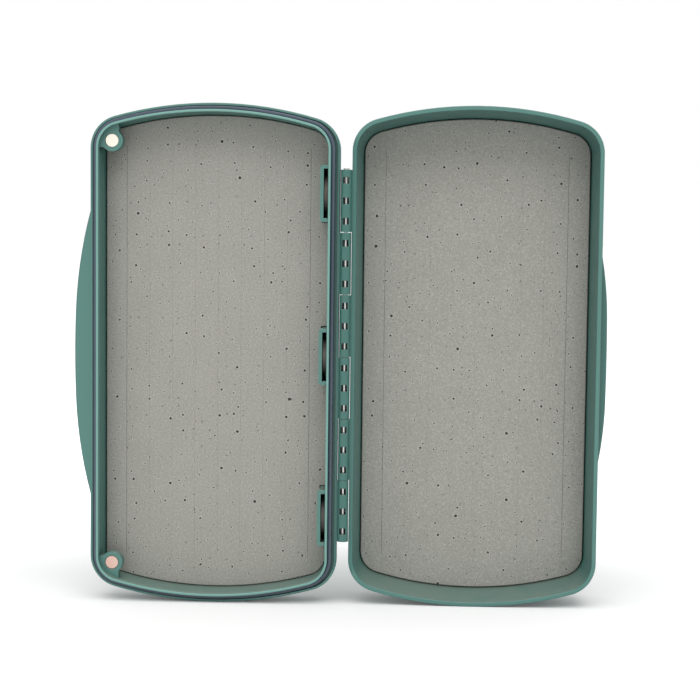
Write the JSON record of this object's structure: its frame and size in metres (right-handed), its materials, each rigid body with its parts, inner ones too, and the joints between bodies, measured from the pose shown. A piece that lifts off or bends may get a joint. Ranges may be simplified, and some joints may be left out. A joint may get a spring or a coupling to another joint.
{
  "type": "fly box",
  "caption": "Slim moulded pocket case for fishing flies, opened like a book: a gasketed base tray and a deeper lid with speckled foam pads, joined by a long pin hinge.",
  "frame": {"origin": "middle of the open case's footprint, level with the lowest points of its curved ends", "axes": "+X from the base tray to the lid tray, +Y from the open side to the backs, +Z along the case and its hinge pin, with the lid open 180 degrees"},
  "size_m": [0.1958, 0.0252, 0.184],
  "materials": {
    "case_plastic": "satin moulded",
    "pin_steel": "bright drawn",
    "gasket_rubber": "smooth moulded",
    "pad_foam": "fine matt with dark speckles",
    "pad_adhesive": "matt",
    "magnet_nickel": "nickel plated"
  },
  "bodies": {
    "base": {"base_shell": "case_plastic", "rim_gasket": "gasket_rubber", "base_pad": "pad_foam", "base_pad_film": "pad_adhesive", "corner_magnet_upper": "magnet_nickel", "corner_magnet_lower": "magnet_nickel", "spine_magnet_upper": "magnet_nickel", "spine_magnet_middle": "magnet_nickel", "spine_magnet_lower": "magnet_nickel"},
    "lid": {"lid_shell": "case_plastic", "hinge_pin": "pin_steel", "lid_pad": "pad_foam", "lid_pad_film": "pad_adhesive", "lid_keeper_upper": "magnet_nickel", "lid_keeper_lower": "magnet_nickel"}
  },
  "joints": [
    {"name": "lid_hinge", "type": "hinge", "parent": "base", "child": "lid", "pos_m": [0.00172, -0.01035, 0.092], "axis": [0, 0, -1], "range_deg": [0, 180]}
  ]
}
